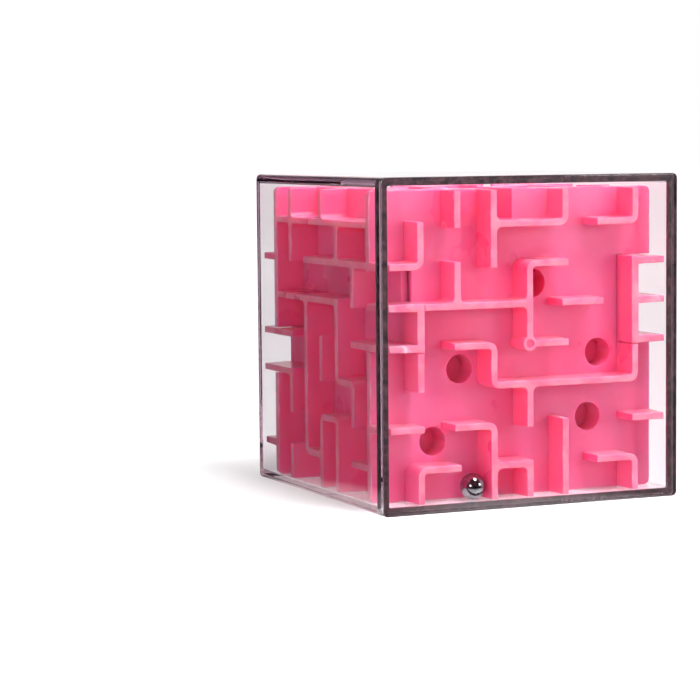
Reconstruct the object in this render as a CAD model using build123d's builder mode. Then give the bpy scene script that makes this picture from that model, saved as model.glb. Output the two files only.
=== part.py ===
from build123d import *
import os
from math import atan, degrees

# Tilt maze game: a clear cube that holds a six-sided maze core and one steel ball.
# Frame: millimetres, +Z up, origin at the centre of the case's underside, front pane towards -Y.

# Clear case
CASE = 80.0            # outer edge of the cube
WALL = 2.0             # thickness of every pane
CASE_EDGE_R = 1.3      # rounding of the long edges and round the back
CAVITY_EDGE_R = 0.5    # inner edge rounding
SKIRT = 3.6            # how far the lid reaches back round the mouth of the box
LID_FIT = 0.05         # seam left between the lid and the box
LID_EDGE_R = 0.4       # rounding of the lid's front edge

# Maze core
PITCH = 9.7            # distance between grid lines, eight cells to a side
REACH = 37.4           # core centre to the tips of the walls
PLATE_FACE = 30.0      # core centre to the outer face of a plate
PLATE_T = 1.8          # plate thickness
PLATE_CORNER_R = 1.5   # rounding of a plate's four corners
JOINT_FIT = 0.1        # room left where two plates interlock
WALL_T = 1.6           # thickness of a maze wall at its tip
WALL_DRAFT = 0.2       # growth of each wall side from tip to root
ELBOW_R = 1.6          # centre-line radius of a rounded bend
JUNCTION_R = 1.2       # fillet where two walls meet
END_R = 0.3            # rounding of a wall's free end
TIP_R = 0.15           # rounding along the tips

# Blind cups that trap the ball
CUP_R = 3.5
CUP_DEPTH = 6.5
CUP_WALL = 1.0

# Moulding gate left on the front plate
GATE_R = 1.75
GATE_PIT_R = 1.1
GATE_PIT_DEPTH = 0.5

# Ball, and the place where it lies: bottom row of the front layer, beside a wall
BALL_D = 6.35
BALL_LIFT = 0.1
BALL_GAP = 0.3

PLATE_BACK = PLATE_FACE - PLATE_T
SEAT = PLATE_BACK - JOINT_FIT            # where a plate that fits between two others ends
WALL_H = REACH - PLATE_FACE
LEDGE = 3 * PITCH + WALL_T / 2 + WALL_DRAFT   # where a passage through a plate's side begins
CORE_Z = WALL + REACH                    # the core stands on the case floor
HALF_T = WALL_T / 2 + WALL_DRAFT         # half thickness of a wall at its root
LIP = CASE - WALL                        # outside of the box's thinner lip
LIP_R = (CASE_EDGE_R + CAVITY_EDGE_R) / 2
DRAFT_ANGLE = degrees(atan(WALL_DRAFT / WALL_H))

# Grid positions run from -4 to 4 across and up a face, seen from outside; 4 is the core's edge.
# Walls are the lines that they follow. Sides are named as seen from outside the face.
# tabs: stretches of a side where the plate goes on to the case, through its neighbour's slot.
# slots: stretches cut out for a neighbour's tab; where one is longer than the tab, the ball can pass.
# passages: stretches left open for the ball.
FRONT = {
    "walls": [
        [(-2, 4), (-2, 3)],
        [(-4, 2), (-3, 2), (-3, 3)],
        [(-1, 4), (-1, 2)],
        [(-1, 3), (1, 3), (1, 4)],
        [(2, 3), (3, 3), (3, 4)],
        [(-4, 1), (0, 1)],
        [(-2, 1), (-2, 2)],
        [(1, 2), (0, 2), (0, 0)],
        [(0, 0), (1, 0)],
        [(1, 1), (2, 1)],
        [(-3, 0), (-3, -1)],
        [(-2, 0), (-1, 0), (-1, -1), (3, -1), (3, 0)],
        [(0, -1), (0, -2)],
        [(1, -2), (1, -4)],
        [(-4, -2), (-3, -2)],
        [(-2, -2), (-1, -2), (-1, -4)],
        [(-2, -3), (-3, -3), (-3, -4)],
        [(2, -3), (3, -3), (3, -4)],
        [(3, -2), (4, -2)],
        [(-1, -3), (0, -3)],
        [(0, -3), (0, -4)],
    ],
    "cups": [(22.5, -3.5), (-15.5, -6.0), (-22.8, -23.2), (19.7, -19.3), (4.4, 14.2)],
    "slots": [("right", 0, 2), ("left", 0, 1.75)],
    "passages": [("top", -1, 0)],
    "tabs": [],
}
BACK = {
    "walls": [
        [(4, 2), (3, 2), (3, 3)],
        [(4, -3), (3, -3)],
        [(-1, 4), (-1, 2)],
        [(-2, 2), (1, 2)],
        [(-4, 3), (-2, 3)],
        [(-3, 1), (-2, 1)],
        [(2, 2), (2, 1), (0, 1)],
        [(-1, 1), (-1, 0), (1, 0)],
        [(3, 1), (3, -2)],
        [(2, 0), (2, -1), (0, -1)],
        [(-3, 0), (-2, 0), (-2, -1)],
        [(-4, -2), (-3, -2), (-3, -3)],
        [(-1, -1), (-1, -2), (1, -2)],
        [(1, -3), (1, -4)],
        [(2, -2), (2, -4)],
    ],
    "cups": [(-22.5, 22.5), (14.5, 14.6), (-14.6, -4.9), (4.8, -14.5)],
    "slots": [("right", -1, 0), ("left", -1, 1), ("top", 0, 2), ("bottom", -2, 0)],
    "passages": [("left", -2, -1), ("top", -3, -2), ("bottom", 1, 2)],
    "tabs": [],
}
LEFT = {
    "walls": [
        [(-3, 3), (3, 3)],
        [(0, 3), (0, 4)],
        [(-2, 2), (-2, 4)],
        [(1, 2), (1, 3)],
        [(-1, 2), (4, 2)],
        [(2, 1), (2, 2)],
        [(-3, 1), (1, 1)],
        [(-1, 1), (-1, -3), (0, -3)],
        [(1, 1), (1, -1), (2, -1), (2, -2)],
        [(0, 0), (0, -1)],
        [(2, 0), (4, 0)],
        [(3, 1), (4, 1)],
        [(-2, -1), (-2, -2)],
        [(-2, -3), (-2, -4)],
        [(0, -4), (0, -2), (1, -2), (1, -4)],
        [(2, -3), (3, -3)],
        [(-4, 0), (-2, 0)],
        [(-4, -1), (-2, -1)],
    ],
    "cups": [],
    "slots": [],
    "passages": [],
    "tabs": [("right", 0, 1), ("left", -1, 0)],
}
RIGHT = {
    "walls": [
        [(-4, 2), (-2, 2), (-2, 3)],
        [(-4, 1), (-1, 1), (-1, 2)],
        [(-4, 0), (-2, 0), (-2, -1)],
        [(2, 4), (2, 2)],
        [(0, 2), (1, 2), (1, 1)],
        [(4, 1), (2, 1)],
        [(4, -1), (2, -1), (2, 0), (0, 0)],
        [(-1, -1), (1, -1), (1, -2)],
        [(-3, -2), (-2, -2), (-2, -4)],
        [(-1, -2), (-1, -3), (0, -3)],
        [(3, -2), (2, -2)],
    ],
    "cups": [(-14.5, 14.6), (4.9, 14.5), (-4.8, -14.6), (14.6, -14.4)],
    "slots": [("top", -1, 1), ("bottom", 0, 2)],
    "passages": [("top", 1, 2), ("bottom", -2, -1)],
    "tabs": [("left", 0, 2), ("right", -1, 1)],
}
TOP = {
    "walls": [
        [(4, 1), (2, 1)],
        [(4, -1), (3, -1)],
        [(-2, 4), (-2, 2)],
        [(0, 4), (0, 3)],
        [(-1, -3), (-1, -2), (-2, -2)],
        [(0, -3), (0, -1), (1, -1)],
        [(-3, -1), (-2, -1), (-2, 0)],
        [(-1, -1), (-1, 1), (0, 1)],
        [(1, 0), (2, 0), (2, -2)],
        [(1, -2), (1, -3)],
        [(-3, 1), (-2, 1)],
        [(-1, 2), (1, 2), (1, 1)],
        [(2, 2), (3, 2)],
    ],
    "cups": [(-14.4, 4.9), (4.7, 4.9), (14.5, -14.6)],
    "slots": [],
    "passages": [],
    "tabs": [("right", -1, 1), ("top", -2, 0)],
}
BOTTOM = {
    "walls": [
        [(4, 0), (2, 0), (2, 1)],
        [(4, -2), (3, -2)],
        [(0, -4), (0, -2)],
        [(2, -4), (2, -3)],
        [(-3, 2), (-1, 2), (-1, 1)],
        [(0, 3), (0, 1)],
        [(1, 2), (2, 2)],
        [(-2, 0), (0, 0)],
        [(1, 0), (1, -1), (2, -1)],
        [(-3, -1), (-2, -1), (-2, -2)],
        [(-1, -1), (-1, -3)],
    ],
    "cups": [(-14.6, 14.5), (9.7, 4.9), (-4.9, -4.8)],
    "slots": [],
    "passages": [],
    "tabs": [("right", -2, 0), ("bottom", 0, 2)],
}


def side_strip(side, start, stop, inner, outer):
    """Place and size of a strip along one side of a face, between two distances from the face's centre."""
    middle, length = (start + stop) / 2, stop - start
    depth, offset = outer - inner, (outer + inner) / 2
    sign = 1 if side in ("right", "top") else -1
    upright = side in ("left", "right")
    place = (sign * offset, middle) if upright else (middle, sign * offset)
    size = (depth, length) if upright else (length, depth)
    return place, size


def plate_outline(face, half_width, half_height):
    """Sketch of a plate: its rectangle, plus tabs, minus slots and passages."""
    with BuildSketch() as outline:
        Rectangle(2 * half_width, 2 * half_height)
        for side, start, stop in face["tabs"]:
            place, size = side_strip(side, start * PITCH - HALF_T, stop * PITCH + HALF_T, SEAT - 1, REACH)
            with Locations(place):
                Rectangle(*size)
        for side, start, stop in face["slots"]:
            room = HALF_T + JOINT_FIT
            place, size = side_strip(side, start * PITCH - room, stop * PITCH + room, SEAT, REACH + 1)
            with Locations(place):
                Rectangle(*size, mode=Mode.SUBTRACT)
        for side, start, stop in face["passages"]:
            edge = HALF_T + JOINT_FIT
            place, size = side_strip(side, start * PITCH + edge, stop * PITCH - edge, LEDGE, REACH + 1)
            with Locations(place):
                Rectangle(*size, mode=Mode.SUBTRACT)
        corners = [v for v in outline.vertices() if abs(abs(v.X) - half_width) + abs(abs(v.Y) - half_height) < 0.01]
        fillet(corners, PLATE_CORNER_R)
    return outline.sketch


def wall_line(points):
    """Wall centre line in millimetres, run on by half a thickness at both ends."""
    spots = [Vector(PITCH * u, PITCH * v) for u, v in points]
    first = spots[0] + (spots[0] - spots[1]).normalized() * HALF_T
    last = spots[-1] + (spots[-1] - spots[-2]).normalized() * HALF_T
    return [first] + spots[1:-1] + [last]


def corners_inside(sketch, quarters):
    """Corners of a sketch that have the given number of quarter turns inside it."""
    step = 0.05
    found = []
    for v in sketch.vertices():
        probes = [Vector(v.X + dx, v.Y + dy) for dx in (-step, step) for dy in (-step, step)]
        if sum(any(f.is_inside(p) for f in sketch.faces()) for p in probes) == quarters:
            found.append(v)
    return found


def wall_sketch(face, outline):
    """Sketch of all the walls of a face at their roots, trimmed to the plate's outline."""
    with BuildSketch() as walls:
        for points in face["walls"]:
            spots = wall_line(points)
            with BuildLine(mode=Mode.PRIVATE) as centre:
                if len(spots) == 2:
                    Line(*spots)
                else:
                    FilletPolyline(*spots, radius=ELBOW_R)
            trace(centre.line, line_width=2 * HALF_T)
        add(outline, mode=Mode.INTERSECT)
        fillet(corners_inside(walls, 3), JUNCTION_R)
        fillet(corners_inside(walls, 1), END_R)
    return walls.sketch


def drafted_wall(root, plane):
    """One maze wall, drawn in from its root towards its tip, with a softened tip."""
    root_plane = plane.offset(PLATE_FACE)
    with BuildPart() as wall:
        with BuildSketch(root_plane):
            add(root)
        extrude(amount=WALL_H)
        sides = [face for face in wall.faces() if abs(face.normal_at().dot(plane.z_dir)) < 0.5]
        draft(sides, root_plane, DRAFT_ANGLE)
        tip = wall.faces().sort_by(Axis(plane.origin, plane.z_dir))[-1]
        fillet(tip.edges(), TIP_R)
    return wall.part


def maze_panel(face, plane, half_width, half_height, gates=()):
    """One plate of the core with its maze walls, cups and gate marks."""
    outline = plate_outline(face, half_width, half_height)
    walls = [drafted_wall(root, plane) for root in wall_sketch(face, outline).faces()]
    with BuildPart() as panel:
        with BuildSketch(plane.offset(PLATE_BACK)):
            add(outline)
        extrude(amount=PLATE_T)
        add(walls)
        if gates:
            with BuildSketch(plane.offset(PLATE_FACE)):
                with Locations(*gates):
                    Circle(GATE_R)
            extrude(amount=WALL_H)
            with BuildSketch(plane.offset(REACH)):
                with Locations(*gates):
                    Circle(GATE_PIT_R)
            extrude(amount=-GATE_PIT_DEPTH, mode=Mode.SUBTRACT)
        if face["cups"]:
            with BuildSketch(plane.offset(PLATE_BACK)):
                with Locations(*face["cups"]):
                    Circle(CUP_R + CUP_WALL)
            extrude(amount=PLATE_T - CUP_DEPTH - CUP_WALL)
            with BuildSketch(plane.offset(PLATE_FACE)):
                with Locations(*face["cups"]):
                    Circle(CUP_R)
            extrude(amount=-CUP_DEPTH, mode=Mode.SUBTRACT)
    return panel


os.makedirs("parts", exist_ok=True)
core = Vector(0, 0, CORE_Z)
front_plane = Plane(origin=core, x_dir=(1, 0, 0), z_dir=(0, -1, 0))
back_plane = Plane(origin=core, x_dir=(-1, 0, 0), z_dir=(0, 1, 0))
left_plane = Plane(origin=core, x_dir=(0, -1, 0), z_dir=(-1, 0, 0))
right_plane = Plane(origin=core, x_dir=(0, 1, 0), z_dir=(1, 0, 0))
top_plane = Plane(origin=core, x_dir=(1, 0, 0), z_dir=(0, 0, 1))
bottom_plane = Plane(origin=core, x_dir=(1, 0, 0), z_dir=(0, 0, -1))

# Front and back plates cover the whole face, the side plates fit between them,
# and the top and bottom plates fit between all four.
panels = {
    "front_panel": maze_panel(FRONT, front_plane, REACH, REACH, gates=[(0, 0)]),
    "back_panel": maze_panel(BACK, back_plane, REACH, REACH),
    "left_panel": maze_panel(LEFT, left_plane, SEAT, REACH),
    "right_panel": maze_panel(RIGHT, right_plane, SEAT, REACH),
    "top_panel": maze_panel(TOP, top_plane, SEAT, SEAT),
    "bottom_panel": maze_panel(BOTTOM, bottom_plane, SEAT, SEAT),
}
for name, panel in panels.items():
    panel.part.label = name
    export_step(panel.part, f"parts/{name}.step")

# Five-sided box, open towards the front, with a thinner lip round its mouth
seam = Plane(origin=(0, SKIRT - CASE / 2, CASE / 2), x_dir=(1, 0, 0), z_dir=(0, -1, 0))
with BuildPart() as case_box:
    with BuildSketch(seam):
        RectangleRounded(CASE, CASE, CASE_EDGE_R)
    extrude(amount=SKIRT - CASE)
    back_edges = case_box.faces().sort_by(Axis.Y)[-1].edges()
    fillet(back_edges, CASE_EDGE_R)
    with BuildSketch(seam):
        RectangleRounded(LIP, LIP, LIP_R)
    extrude(amount=SKIRT - WALL - LID_FIT)
    with BuildSketch(seam.offset(SKIRT - WALL)):
        RectangleRounded(CASE - 2 * WALL, CASE - 2 * WALL, CAVITY_EDGE_R)
    extrude(amount=2 * WALL - CASE, mode=Mode.SUBTRACT)
case_box.part.label = "case_box"
export_step(case_box.part, "parts/case_box.step")

# Front pane with a short skirt that slips over the lip
with BuildPart() as case_lid:
    with BuildSketch(seam.offset(LID_FIT)):
        RectangleRounded(CASE, CASE, CASE_EDGE_R)
    extrude(amount=SKIRT - LID_FIT)
    front_edges = case_lid.faces().sort_by(Axis.Y)[0].edges()
    fillet(front_edges, LID_EDGE_R)
    with BuildSketch(seam.offset(LID_FIT)):
        RectangleRounded(LIP + 2 * LID_FIT, LIP + 2 * LID_FIT, LIP_R + LID_FIT)
    extrude(amount=SKIRT - WALL - LID_FIT, mode=Mode.SUBTRACT)
case_lid.part.label = "case_lid"
export_step(case_lid.part, "parts/case_lid.step")

# Ball, between the front plate and the front pane
ball_x = -PITCH - WALL_T / 2 - BALL_GAP - BALL_D / 2
ball_y = -(PLATE_FACE + CASE / 2 - WALL) / 2
ball_z = WALL + BALL_LIFT + BALL_D / 2
with BuildPart() as steel_ball:
    with Locations((ball_x, ball_y, ball_z)):
        Sphere(BALL_D / 2)
steel_ball.part.label = "steel_ball"
export_step(steel_ball.part, "parts/steel_ball.step")
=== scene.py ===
import math

import bmesh
import bpy
from mathutils import Matrix, Vector


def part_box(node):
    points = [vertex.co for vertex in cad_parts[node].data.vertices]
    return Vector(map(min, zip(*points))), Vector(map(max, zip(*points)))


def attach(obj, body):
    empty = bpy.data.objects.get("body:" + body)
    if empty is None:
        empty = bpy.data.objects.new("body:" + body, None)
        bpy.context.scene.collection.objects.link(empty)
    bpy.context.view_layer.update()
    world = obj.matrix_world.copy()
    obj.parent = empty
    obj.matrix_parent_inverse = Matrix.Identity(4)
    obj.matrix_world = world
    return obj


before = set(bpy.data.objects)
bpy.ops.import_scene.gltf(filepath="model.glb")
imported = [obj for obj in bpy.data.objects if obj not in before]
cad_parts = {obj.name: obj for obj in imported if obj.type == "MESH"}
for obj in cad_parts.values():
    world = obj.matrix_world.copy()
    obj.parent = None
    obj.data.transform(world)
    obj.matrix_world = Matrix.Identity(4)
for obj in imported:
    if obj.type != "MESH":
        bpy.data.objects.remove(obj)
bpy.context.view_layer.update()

# Sizes of the case as designed, in metres
WALL = 0.002           # thickness of its panes
EDGE_R = 0.0013        # rounding of its long edges
CAVITY_R = 0.0005      # rounding of its inner edges
SEAM = 0.00005         # gap between the lid and the box

# Sizes and places read from the frame
LID_LOW, LID_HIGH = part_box("case_lid")
BOX_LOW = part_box("case_box")[0]
CASE = LID_HIGH.x - LID_LOW.x
CUBE_CENTRE = Vector((0, 0, CASE / 2))
CORE_LOW, CORE_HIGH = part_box("front_panel")
CORE_CENTRE = Vector((0, 0, (CORE_LOW.z + CORE_HIGH.z) / 2))
REACH = (CORE_HIGH.x - CORE_LOW.x) / 2
PANELS = ("front_panel", "back_panel", "left_panel", "right_panel", "top_panel", "bottom_panel")

# How far in from the wall tips each painted light on the plastic begins and is full, in metres: the paler faces of
# the tips, the highlight lines along their edges and the pale patches on upward faces near the tips
TIP_LIGHT_START, TIP_LIGHT_FULL = 0.00006, 0.00001
TIP_HIGHLIGHT_START, TIP_HIGHLIGHT_FULL = 0.00040, 0.00015
LEDGE_LIGHT_START, LEDGE_LIGHT_FULL = 0.0060, 0.0020

# Camera: distance and direction from the cube's centre, in cube sides
CAMERA_PLACE = Vector((-3.4823, -7.0681, 1.1217)) * CASE
CAMERA_FORWARD = Vector((0.39994, 0.91248, -0.08621))
CAMERA_ROLL = math.radians(-0.514)
CAMERA_LENS = 127.3
CAMERA_SENSOR = 36.0
CAMERA_RIGHT = CAMERA_FORWARD.cross(Vector((0, 0, 1))).normalized()
CAMERA_UP = CAMERA_RIGHT.cross(CAMERA_FORWARD)

# Stage: the floor glows more from FLOOR_NEAR to FLOOR_FAR, and mirrors show a dark side of the room
FLOOR_RADIUS = 6.0
FLOOR_NEAR, FLOOR_FAR = 0.05, 1.00
GLOW_NEAR, GLOW_FAR = 0.35, 0.92
PALE_START, PALE_END = 0.55 * CASE, 0.75 * CASE   # the floor under the object never turns dark
ROOM_LIGHT = 0.12      # strength of the background where it only lights
ROOM_DARK = 0.02       # strength of its dark side
DARK_SIDE = Vector((-0.92, -0.39, 0.0))
DARK_START, DARK_FULL = -0.62, -0.30   # cosine to DARK_SIDE where the dark begins and is full


# ---------------------------------------------------------------- node helpers
def new_material(name):
    """An empty node material and its output node."""
    material = bpy.data.materials.new(name)
    material.use_nodes = True
    tree = material.node_tree
    tree.nodes.clear()
    output = tree.nodes.new("ShaderNodeOutputMaterial")
    return material, tree, output


def add_node(tree, kind, inputs=None, **settings):
    """A node with its settings and plain socket values."""
    node = tree.nodes.new(kind)
    for name, value in settings.items():
        setattr(node, name, value)
    for socket, value in (inputs or {}).items():
        node.inputs[socket].default_value = value
    return node


def colour_ramp(tree, source, stops):
    """A colour ramp fed by a socket."""
    ramp = tree.nodes.new("ShaderNodeValToRGB")
    elements = ramp.color_ramp.elements
    while len(elements) < len(stops):
        elements.new(0.5)
    for element, (position, colour) in zip(elements, stops):
        element.position = position
        element.color = (*colour, 1)
    tree.links.new(source, ramp.inputs["Fac"])
    return ramp.outputs["Color"]


def value_range(tree, source, low, high):
    """A 0 to 1 socket mapped to a range."""
    ranged = add_node(tree, "ShaderNodeMapRange", {"To Min": low, "To Max": high})
    tree.links.new(source, ranged.inputs["Value"])
    return ranged.outputs["Result"]


def noise(tree, scale, detail=3.0, roughness=0.5):
    """Noise in object space, in features per metre."""
    place = tree.nodes.new("ShaderNodeTexCoord")
    texture = add_node(tree, "ShaderNodeTexNoise", {"Scale": scale, "Detail": detail, "Roughness": roughness})
    tree.links.new(place.outputs["Object"], texture.inputs["Vector"])
    return texture.outputs["Fac"]


def bump(tree, height, strength, distance, base=None):
    """A bump from a height socket, on top of a base normal if one is given."""
    node = add_node(tree, "ShaderNodeBump", {"Strength": strength, "Distance": distance})
    tree.links.new(height, node.inputs["Height"])
    if base:
        tree.links.new(base, node.inputs["Normal"])
    return node.outputs["Normal"]


# ---------------------------------------------------------------- materials
BLACK_TO_WHITE = [(0.0, (0, 0, 0)), (1.0, (1, 1, 1))]


def tip_zone(tree, start, full):
    """0 to 1 as a point nears the wall tips, which all lie on one cube about the core's centre.

    It rises from `start` to `full`, both measured inwards from the tips.
    """
    place = tree.nodes.new("ShaderNodeTexCoord")
    from_core = add_node(tree, "ShaderNodeVectorMath", {1: CORE_CENTRE}, operation="SUBTRACT")
    apart = add_node(tree, "ShaderNodeVectorMath", operation="ABSOLUTE")
    split = tree.nodes.new("ShaderNodeSeparateXYZ")
    wider = add_node(tree, "ShaderNodeMath", operation="MAXIMUM")
    widest = add_node(tree, "ShaderNodeMath", operation="MAXIMUM")
    zone = add_node(tree, "ShaderNodeMapRange", {"From Min": REACH - start, "From Max": REACH - full})
    tree.links.new(place.outputs["Object"], from_core.inputs[0])
    tree.links.new(from_core.outputs["Vector"], apart.inputs[0])
    tree.links.new(apart.outputs["Vector"], split.inputs["Vector"])
    tree.links.new(split.outputs["X"], wider.inputs[0])
    tree.links.new(split.outputs["Y"], wider.inputs[1])
    tree.links.new(wider.outputs[0], widest.inputs[0])
    tree.links.new(split.outputs["Z"], widest.inputs[1])
    tree.links.new(widest.outputs[0], zone.inputs["Value"])
    return zone.outputs["Result"]


def ledge_highlights(tree, highlight_breakup):
    """0 to 1 in soft patches near the tips of the upward wall faces: the mask of a painted highlight where light
    from above falls.
    """
    place = tree.nodes.new("ShaderNodeTexCoord")
    split = tree.nodes.new("ShaderNodeSeparateXYZ")
    upward = add_node(tree, "ShaderNodeMapRange", {"From Min": 0.6, "From Max": 0.9})
    patches = colour_ramp(tree, highlight_breakup, [(0.30, (0, 0, 0)), (0.66, (0.45, 0.45, 0.45))])
    outer = add_node(tree, "ShaderNodeMath", operation="MULTIPLY")
    lit_patches = add_node(tree, "ShaderNodeMath", operation="MULTIPLY")
    tree.links.new(place.outputs["Normal"], split.inputs["Vector"])
    tree.links.new(split.outputs["Z"], upward.inputs["Value"])
    tree.links.new(upward.outputs["Result"], outer.inputs[0])
    tree.links.new(tip_zone(tree, LEDGE_LIGHT_START, LEDGE_LIGHT_FULL), outer.inputs[1])
    tree.links.new(outer.outputs[0], lit_patches.inputs[0])
    tree.links.new(patches, lit_patches.inputs[1])
    return lit_patches.outputs[0]


def pink_plastic():
    """Glossy, slightly translucent moulded plastic with flow mottling, and painted light: a painted highlight on
    upward faces near the tips, highlight lines along the tips' edges and paler faces on the tips.
    """
    material, tree, output = new_material("pink_plastic")
    shader = add_node(tree, "ShaderNodeBsdfPrincipled", {
        "IOR": 1.5,
        "Subsurface Weight": 0.9,
        "Subsurface Radius": (0.0050, 0.0008, 0.0018),
        "Subsurface Scale": 1.0,
        "Coat Weight": 0.5,
        "Coat Roughness": 0.12,
    })
    mottle = noise(tree, 45, detail=4)
    body = colour_ramp(tree, mottle, [(0.30, (0.970, 0.115, 0.290)), (0.70, (0.985, 0.185, 0.365))])
    highlight_breakup = noise(tree, 260, detail=3)
    # painted light: the tips' flat faces are paler, as if more brightly lit than the plates
    tip_light = colour_ramp(tree, highlight_breakup, [(0.35, (0.90, 0.20, 0.32)), (0.62, (0.93, 0.30, 0.41))])
    # painted highlight: near-white broken lines along the tips' edges, standing in for light caught by their
    # rounding
    edge_highlight = colour_ramp(tree, highlight_breakup, [
        (0.50, (0.92, 0.20, 0.33)),
        (0.66, (0.94, 0.36, 0.46)),
        (0.76, (0.98, 0.70, 0.74)),
    ])
    to_edge_highlight = colour_ramp(tree, tip_zone(tree, TIP_HIGHLIGHT_START, TIP_HIGHLIGHT_FULL), BLACK_TO_WHITE)
    to_tip_light = colour_ramp(tree, tip_zone(tree, TIP_LIGHT_START, TIP_LIGHT_FULL), BLACK_TO_WHITE)
    # painted highlight: cream patches on upward faces near the tips, where light from above falls
    ledge_lit = add_node(tree, "ShaderNodeMixRGB", {"Color2": (1.0, 0.62, 0.66, 1)})
    edge_highlighted = tree.nodes.new("ShaderNodeMixRGB")
    tip_lit = tree.nodes.new("ShaderNodeMixRGB")
    tree.links.new(ledge_highlights(tree, highlight_breakup), ledge_lit.inputs["Fac"])
    tree.links.new(body, ledge_lit.inputs["Color1"])
    tree.links.new(to_edge_highlight, edge_highlighted.inputs["Fac"])
    tree.links.new(ledge_lit.outputs["Color"], edge_highlighted.inputs["Color1"])
    tree.links.new(edge_highlight, edge_highlighted.inputs["Color2"])
    tree.links.new(to_tip_light, tip_lit.inputs["Fac"])
    tree.links.new(edge_highlighted.outputs["Color"], tip_lit.inputs["Color1"])
    tree.links.new(tip_light, tip_lit.inputs["Color2"])
    tree.links.new(tip_lit.outputs["Color"], shader.inputs["Base Color"])
    grain = noise(tree, 500, detail=3)
    rounded = add_node(tree, "ShaderNodeBevel", {"Radius": 0.0003}, samples=4)
    tree.links.new(value_range(tree, mottle, 0.22, 0.36), shader.inputs["Roughness"])
    tree.links.new(bump(tree, grain, 0.25, 0.00015, rounded.outputs["Normal"]), shader.inputs["Normal"])
    tree.links.new(shader.outputs["BSDF"], output.inputs["Surface"])
    return material


def clear_plastic():
    """Clear polystyrene with a lilac cast that deepens along its edges."""
    material, tree, output = new_material("clear_plastic")
    shader = add_node(tree, "ShaderNodeBsdfPrincipled", {
        "Base Color": (0.985, 0.975, 0.985, 1),
        "Transmission Weight": 1.0,
        "IOR": 1.58,
    })
    waves = noise(tree, 30, detail=1)
    tree.links.new(value_range(tree, waves, 0.006, 0.020), shader.inputs["Roughness"])
    tree.links.new(bump(tree, waves, 0.15, 0.0002), shader.inputs["Normal"])
    absorption = add_node(tree, "ShaderNodeVolumeAbsorption", {
        "Color": (0.55, 0.32, 0.46, 1),
        "Density": 20.0,
    })
    lamp_path = tree.nodes.new("ShaderNodeLightPath")
    open_shader = add_node(tree, "ShaderNodeBsdfTransparent", {"Color": (0.96, 0.94, 0.96, 1)})
    mix = tree.nodes.new("ShaderNodeMixShader")
    tree.links.new(lamp_path.outputs["Is Shadow Ray"], mix.inputs["Fac"])
    tree.links.new(shader.outputs["BSDF"], mix.inputs[1])
    tree.links.new(open_shader.outputs["BSDF"], mix.inputs[2])
    tree.links.new(mix.outputs["Shader"], output.inputs["Surface"])
    tree.links.new(absorption.outputs["Volume"], output.inputs["Volume"])
    return material


def seam_painted_shade():
    """Cloudy, near-black mauve-brown ring colour with dark specks: painted shade for the dark look of the clear
    walls' edges seen end-on, filling the real seam.
    """
    material, tree, output = new_material("seam_painted_shade")
    shader = add_node(tree, "ShaderNodeBsdfPrincipled", {"Roughness": 0.45})
    cloud = noise(tree, 650, detail=5, roughness=0.6)
    colour = colour_ramp(tree, cloud, [
        (0.38, (0.008, 0.003, 0.004)),
        (0.47, (0.036, 0.013, 0.017)),
        (0.62, (0.085, 0.038, 0.048)),
    ])
    specks = noise(tree, 1500, detail=1)
    tree.links.new(colour, shader.inputs["Base Color"])
    tree.links.new(bump(tree, specks, 0.5, 0.0001), shader.inputs["Normal"])
    tree.links.new(shader.outputs["BSDF"], output.inputs["Surface"])
    return material


def polished_steel():
    """Mirror-polished ball steel with faint wear."""
    material, tree, output = new_material("polished_steel")
    shader = add_node(tree, "ShaderNodeBsdfPrincipled", {"Metallic": 1.0})
    wear = noise(tree, 700, detail=4)
    # darker than real steel throughout: painted shade for the dark surroundings the ball mirrors; the noise gives
    # faint wear
    colour = colour_ramp(tree, wear, [(0.35, (0.30, 0.32, 0.33)), (0.65, (0.38, 0.40, 0.41))])
    tree.links.new(colour, shader.inputs["Base Color"])
    tree.links.new(value_range(tree, wear, 0.02, 0.09), shader.inputs["Roughness"])
    tree.links.new(shader.outputs["BSDF"], output.inputs["Surface"])
    return material


def in_dark_side(tree, direction):
    """1 where a view ray that was mirrored, not scattered, ends on the dark side of the room, otherwise 0."""
    path = tree.nodes.new("ShaderNodeLightPath")
    mirrored = add_node(tree, "ShaderNodeMath", {1: 0.5}, operation="GREATER_THAN")
    unscattered = add_node(tree, "ShaderNodeMath", {1: 0.5}, operation="LESS_THAN")
    heading = add_node(tree, "ShaderNodeVectorMath", {1: DARK_SIDE}, operation="DOT_PRODUCT")
    side = add_node(
        tree, "ShaderNodeMapRange", {"From Min": DARK_START, "From Max": DARK_FULL}, interpolation_type="SMOOTHSTEP",
    )
    factor = add_node(tree, "ShaderNodeMath", operation="MULTIPLY")
    result = add_node(tree, "ShaderNodeMath", operation="MULTIPLY")
    tree.links.new(path.outputs["Glossy Depth"], mirrored.inputs[0])
    tree.links.new(path.outputs["Diffuse Depth"], unscattered.inputs[0])
    tree.links.new(direction, heading.inputs[0])
    tree.links.new(heading.outputs["Value"], side.inputs["Value"])
    tree.links.new(mirrored.outputs[0], factor.inputs[0])
    tree.links.new(unscattered.outputs[0], factor.inputs[1])
    tree.links.new(factor.outputs[0], result.inputs[0])
    tree.links.new(side.outputs["Result"], result.inputs[1])
    return result.outputs[0]


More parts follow.
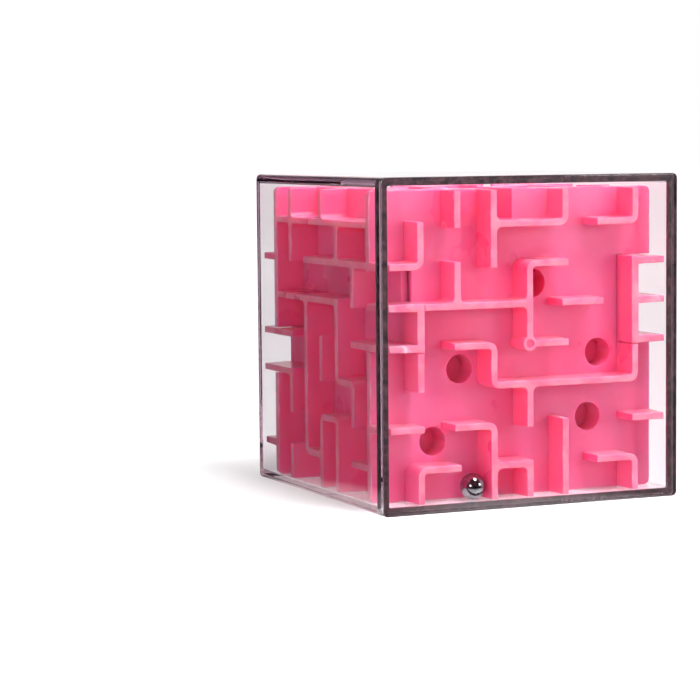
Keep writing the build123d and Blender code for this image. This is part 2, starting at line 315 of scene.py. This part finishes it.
def studio_floor():
    """White paper that glows away from the object, and is dark where a mirror shows the room's dark side."""
    material, tree, output = new_material("studio_floor")
    place = tree.nodes.new("ShaderNodeTexCoord")
    distance = add_node(tree, "ShaderNodeVectorMath", operation="LENGTH")
    heading = add_node(tree, "ShaderNodeVectorMath", operation="NORMALIZE")
    tree.links.new(place.outputs["Object"], distance.inputs[0])
    tree.links.new(place.outputs["Object"], heading.inputs[0])
    paper = add_node(tree, "ShaderNodeBsdfPrincipled", {
        "Roughness": 0.9,
        "Specular IOR Level": 0.1,
        "Emission Color": (1, 1, 1, 1),
    })
    colour = colour_ramp(tree, noise(tree, 6, detail=2), [(0.3, (0.90, 0.90, 0.90)), (0.7, (0.92, 0.92, 0.92))])
    tree.links.new(colour, paper.inputs["Base Color"])
    glow = add_node(tree, "ShaderNodeMapRange", {
        "From Min": FLOOR_NEAR, "From Max": FLOOR_FAR, "To Min": GLOW_NEAR, "To Max": GLOW_FAR,
    })
    tree.links.new(distance.outputs["Value"], glow.inputs["Value"])
    tree.links.new(glow.outputs["Result"], paper.inputs["Emission Strength"])
    shade = add_node(tree, "ShaderNodeMapRange", {"From Min": PALE_START, "From Max": PALE_END})
    tree.links.new(distance.outputs["Value"], shade.inputs["Value"])
    dark = add_node(tree, "ShaderNodeMath", operation="MULTIPLY")
    tree.links.new(shade.outputs["Result"], dark.inputs[0])
    tree.links.new(in_dark_side(tree, heading.outputs["Vector"]), dark.inputs[1])
    mix = tree.nodes.new("ShaderNodeMixShader")
    black = add_node(tree, "ShaderNodeBsdfDiffuse", {"Color": (0.01, 0.01, 0.01, 1)})
    tree.links.new(dark.outputs[0], mix.inputs["Fac"])
    tree.links.new(paper.outputs["BSDF"], mix.inputs[1])
    tree.links.new(black.outputs["BSDF"], mix.inputs[2])
    tree.links.new(mix.outputs["Shader"], output.inputs["Surface"])
    return material


# ---------------------------------------------------------------- dressing the CAD nodes
def dress(node_name, material):
    """Give a CAD node its material."""
    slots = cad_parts[node_name].data.materials
    for index in range(len(slots)):
        slots[index] = material


pink_material = pink_plastic()
clear_material = clear_plastic()
steel_material = polished_steel()
for panel in PANELS:
    dress(panel, pink_material)
for shell in ("case_box", "case_lid"):
    dress(shell, clear_material)
dress("steel_ball", steel_material)


# ---------------------------------------------------------------- dark ring in the seam between the lid and the box: painted shade
def rounded_square(half, radius, depth, steps=8):
    """Points of a square with rounded corners, upright at one depth, centred on the cube."""
    points = []
    for corner in range(4):
        middle = math.pi / 2 * corner + math.pi / 4
        across = math.copysign(half - radius, math.cos(middle))
        up = math.copysign(half - radius, math.sin(middle))
        for step in range(steps + 1):
            angle = math.pi / 2 * (corner + step / steps)
            points.append((
                across + radius * math.cos(angle),
                depth,
                CUBE_CENTRE.z + up + radius * math.sin(angle),
            ))
    return points


def add_seam_shade_ring():
    """A thin stepped ring that fills the seam: behind the skirt, round the lip and across the lip's end."""
    seam = LID_HIGH.y
    lip = BOX_LOW.y
    side = CASE / 2 - WALL / 2
    thin = SEAM / 5
    profile = [
        (CASE / 2 - WALL + thin, lip - SEAM + thin),
        (side + SEAM - thin, lip - SEAM + thin),
        (side + SEAM - thin, seam + thin),
        (CASE / 2 - thin, seam + thin),
        (CASE / 2 - thin, seam + SEAM - thin),
        (side + thin, seam + SEAM - thin),
        (side + thin, lip - thin),
        (CASE / 2 - WALL + thin, lip - thin),
    ]
    ring = bmesh.new()
    loops = []
    for half, depth in profile:
        radius = EDGE_R - (CASE / 2 - half) * (EDGE_R - CAVITY_R) / WALL
        loops.append([ring.verts.new(p) for p in rounded_square(half, radius, depth)])
    for index, loop in enumerate(loops):
        following = loops[(index + 1) % len(loops)]
        for spot in range(len(loop)):
            after = (spot + 1) % len(loop)
            ring.faces.new((loop[spot], loop[after], following[after], following[spot]))
    bmesh.ops.recalc_face_normals(ring, faces=ring.faces)
    mesh = bpy.data.meshes.new("seam_shade_ring")
    ring.to_mesh(mesh)
    ring.free()
    piece = bpy.data.objects.new("seam_shade_ring", mesh)
    bpy.context.scene.collection.objects.link(piece)
    # the ring's dark colour is painted shade for the clear walls' edges seen end-on
    mesh.materials.append(seam_painted_shade())
    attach(piece, "cube")


add_seam_shade_ring()


# ---------------------------------------------------------------- stage, lights, camera
def add_floor(radius=FLOOR_RADIUS, rings=12, spokes=96):
    """A large round floor with its centre under the object."""
    mesh = bpy.data.meshes.new("studio_floor")
    grid = bmesh.new()
    centre = grid.verts.new((0, 0, 0))
    previous = None
    for ring in range(1, rings + 1):
        reach = radius * (ring / rings) ** 2
        angles = [2 * math.pi * spoke / spokes for spoke in range(spokes)]
        circle = [grid.verts.new((reach * math.cos(a), reach * math.sin(a), 0)) for a in angles]
        for spoke in range(spokes):
            after = (spoke + 1) % spokes
            if previous:
                grid.faces.new((previous[spoke], circle[spoke], circle[after], previous[after]))
            else:
                grid.faces.new((centre, circle[spoke], circle[after]))
        previous = circle
    grid.to_mesh(mesh)
    grid.free()
    floor = bpy.data.objects.new("studio_floor", mesh)
    bpy.context.scene.collection.objects.link(floor)
    mesh.materials.append(studio_floor())


def add_softbox(name, direction, distance, size, power):
    """A square area light aimed at the cube's centre; direction is right, up and towards the camera."""
    right, up, towards = direction
    heading = (CAMERA_RIGHT * right + CAMERA_UP * up - CAMERA_FORWARD * towards).normalized()
    data = bpy.data.lights.new(name, "AREA")
    data.size = size
    data.energy = power
    lamp = bpy.data.objects.new(name, data)
    lamp.location = CUBE_CENTRE + heading * distance
    lamp.rotation_euler = (-heading).to_track_quat("-Z", "Y").to_euler()
    bpy.context.scene.collection.objects.link(lamp)
    return lamp


def add_camera():
    """The camera, aimed along a fixed direction with a slight roll."""
    data = bpy.data.cameras.new("camera")
    data.lens = CAMERA_LENS
    data.sensor_width = CAMERA_SENSOR
    data.sensor_fit = "HORIZONTAL"
    data.clip_start, data.clip_end = 0.01, 20
    camera = bpy.data.objects.new("camera", data)
    turn = CAMERA_FORWARD.to_track_quat("-Z", "Y").to_matrix().to_4x4()
    roll = Matrix.Rotation(CAMERA_ROLL, 4, "Z")
    camera.matrix_world = Matrix.Translation(CAMERA_PLACE) @ turn @ roll
    bpy.context.scene.collection.objects.link(camera)
    bpy.context.scene.camera = camera


def add_surroundings():
    """White where looked at directly or mirrored from the light side, black on the dark side, dim for lighting."""
    world = bpy.data.worlds.new("studio")
    bpy.context.scene.world = world
    world.use_nodes = True
    tree = world.node_tree
    background = tree.nodes["Background"]
    background.inputs["Color"].default_value = (1, 1, 1, 1)
    place = tree.nodes.new("ShaderNodeTexCoord")
    path = tree.nodes.new("ShaderNodeLightPath")
    scattered = add_node(tree, "ShaderNodeMath", {1: 0.5}, operation="GREATER_THAN")
    tree.links.new(path.outputs["Diffuse Depth"], scattered.inputs[0])
    open_light = value_range(tree, scattered.outputs[0], 1.0, ROOM_LIGHT)
    lit = value_range(tree, in_dark_side(tree, place.outputs["Generated"]), 1.0, ROOM_DARK)
    strength = add_node(tree, "ShaderNodeMath", operation="MULTIPLY")
    tree.links.new(open_light, strength.inputs[0])
    tree.links.new(lit, strength.inputs[1])
    tree.links.new(strength.outputs[0], background.inputs["Strength"])


add_floor()
add_softbox("top_softbox", (0.302, 0.836, 0.455), distance=0.9, size=0.30, power=5.8)
overhead = add_softbox("overhead", (0.10, 0.98, 0.15), distance=0.9, size=0.40, power=3.0)
overhead.visible_glossy = False
add_softbox("right_softbox", (0.842, 0.187, 0.507), distance=0.9, size=0.22, power=1.3)
add_softbox("left_softbox", (-0.406, 0.06, 0.909), distance=1.2, size=0.26, power=2.2)
add_camera()
add_surroundings()

scene = bpy.context.scene
scene.view_settings.view_transform = "Standard"
scene.cycles.max_bounces = 64
scene.cycles.diffuse_bounces = 14
scene.cycles.glossy_bounces = 48
scene.cycles.transmission_bounces = 48
scene.cycles.transparent_max_bounces = 24
